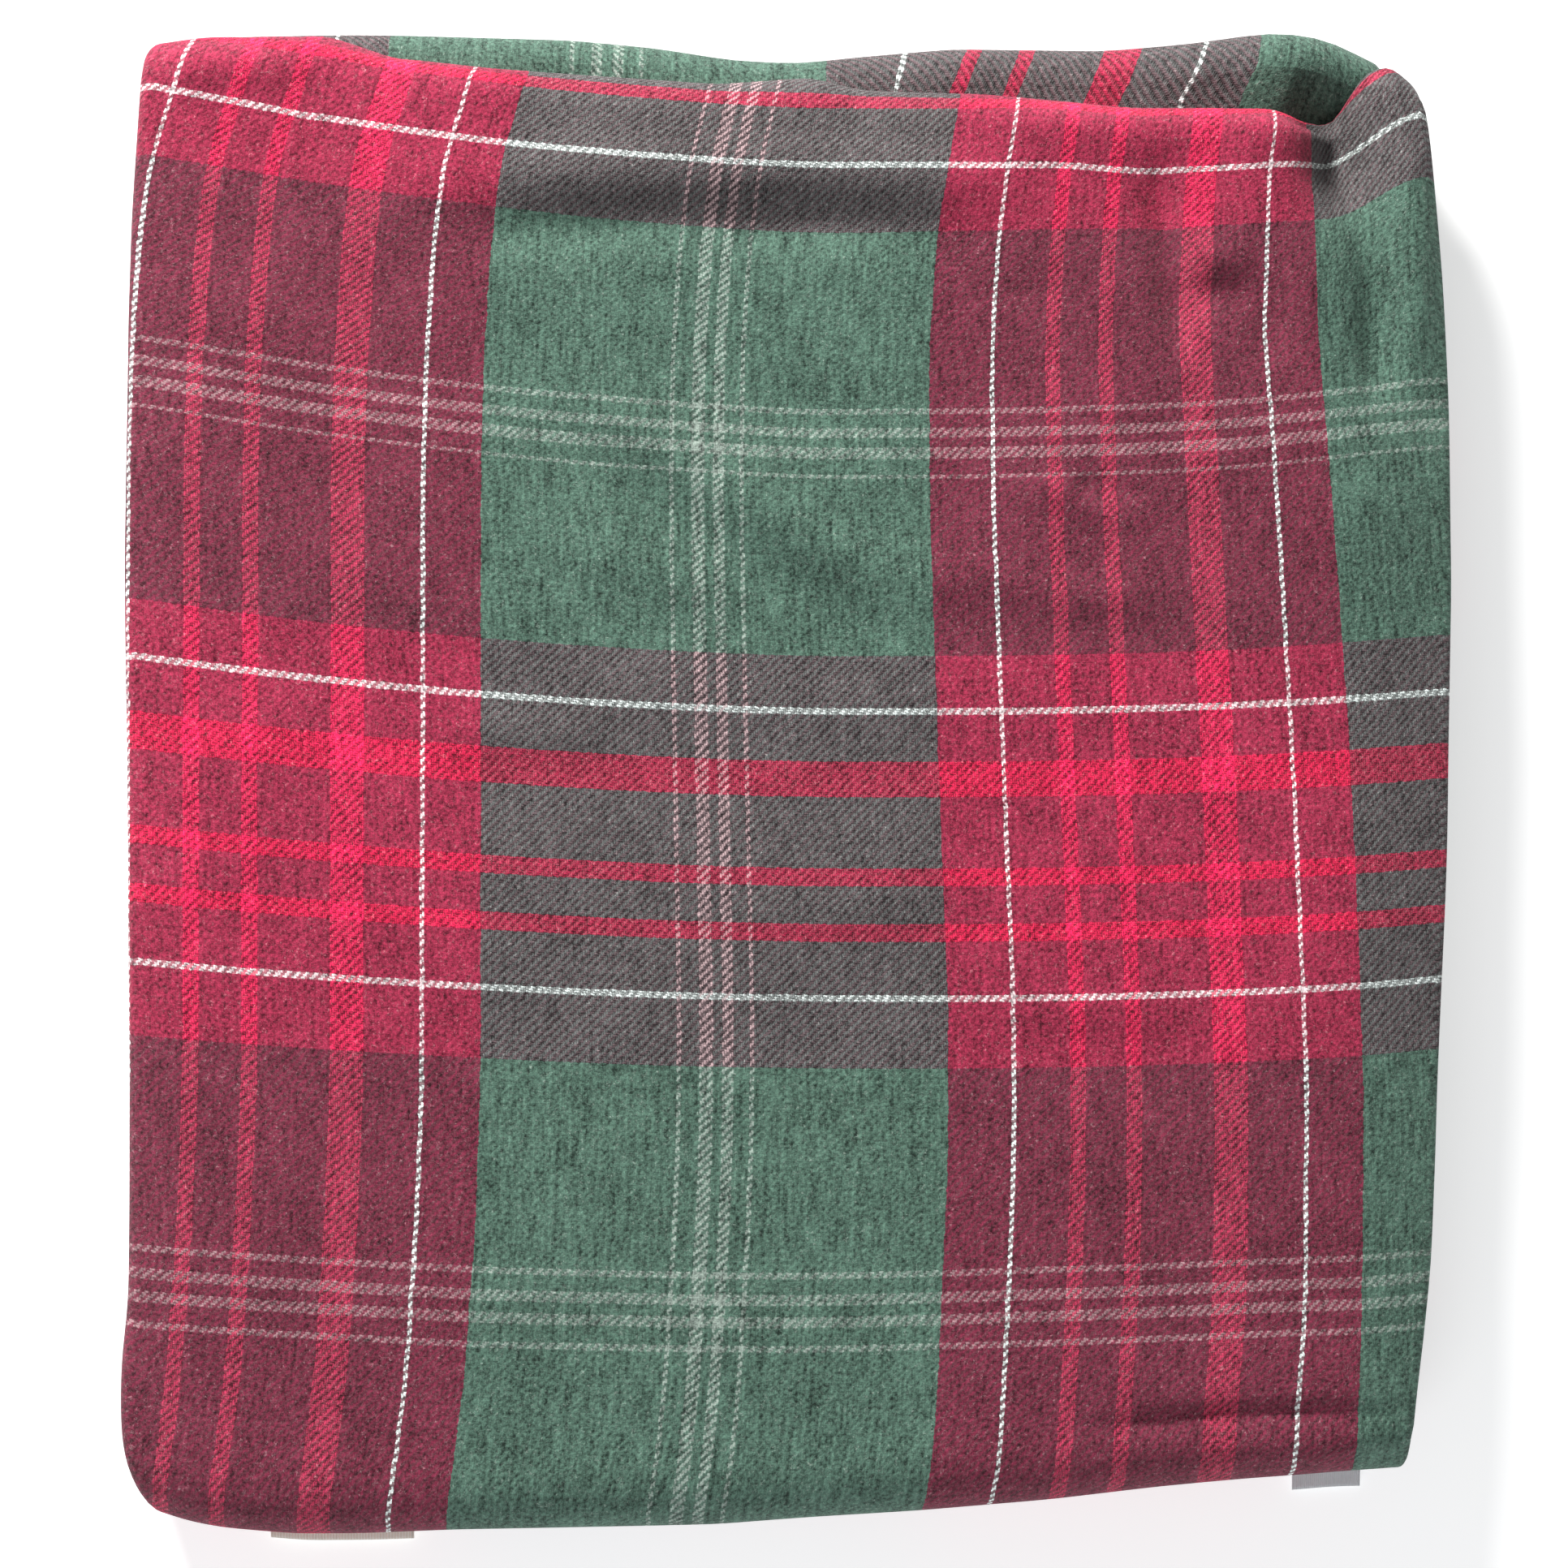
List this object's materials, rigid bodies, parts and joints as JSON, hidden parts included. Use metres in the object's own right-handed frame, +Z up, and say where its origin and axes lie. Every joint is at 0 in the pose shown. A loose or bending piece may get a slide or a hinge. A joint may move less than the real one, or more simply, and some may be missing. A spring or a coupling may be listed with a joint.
{
  "type": "folded plaid blanket",
  "caption": "Folded brushed-twill plaid throw blanket, a flat soft packet whose panels unfold over each other into a long strip.",
  "frame": {"origin": "under the centre of the folded packet, on the surface that it lies on", "axes": "+X across the packet, +Y to its far folded edge, +Z up through the folded layers"},
  "size_m": [0.3278, 0.3734, 0.0416],
  "materials": {
    "plaid_cloth": "brushed twill, plaid",
    "hem": "brushed twill, plaid",
    "thread": "matte",
    "woven_label": "ribbed weave",
    "care_label": "satin"
  },
  "bodies": {
    "bottom_panel": {"bottom_panel": "plaid_cloth", "bottom_side_hem": "hem", "bottom_side_thread": "thread", "bottom_end_hem": "hem", "bottom_end_thread": "thread", "woven_label": "woven_label", "care_label": "care_label"},
    "middle_panel": {"middle_panel": "plaid_cloth", "middle_side_hem": "hem", "middle_side_thread": "thread"},
    "top_panel": {"top_panel": "plaid_cloth", "top_side_hem": "hem", "top_side_thread": "thread", "tucked_panel": "plaid_cloth", "tucked_side_hem": "hem", "tucked_side_thread": "thread", "tucked_end_hem": "hem", "tucked_end_thread": "thread"}
  },
  "joints": [
    {"name": "middle_unfold", "type": "hinge", "parent": "bottom_panel", "child": "middle_panel", "pos_m": [0, 0.18667, 0.0104], "axis": [-1, 0, 0], "range_deg": [0, 180]},
    {"name": "top_unfold", "type": "hinge", "parent": "middle_panel", "child": "top_panel", "pos_m": [0, -0.18633, 0.0208], "axis": [1, 0, 0], "range_deg": [0, 180]}
  ],
  "couplings": [
    {"joint": "top_unfold", "follows": "middle_unfold", "ratio": 1}
  ]
}
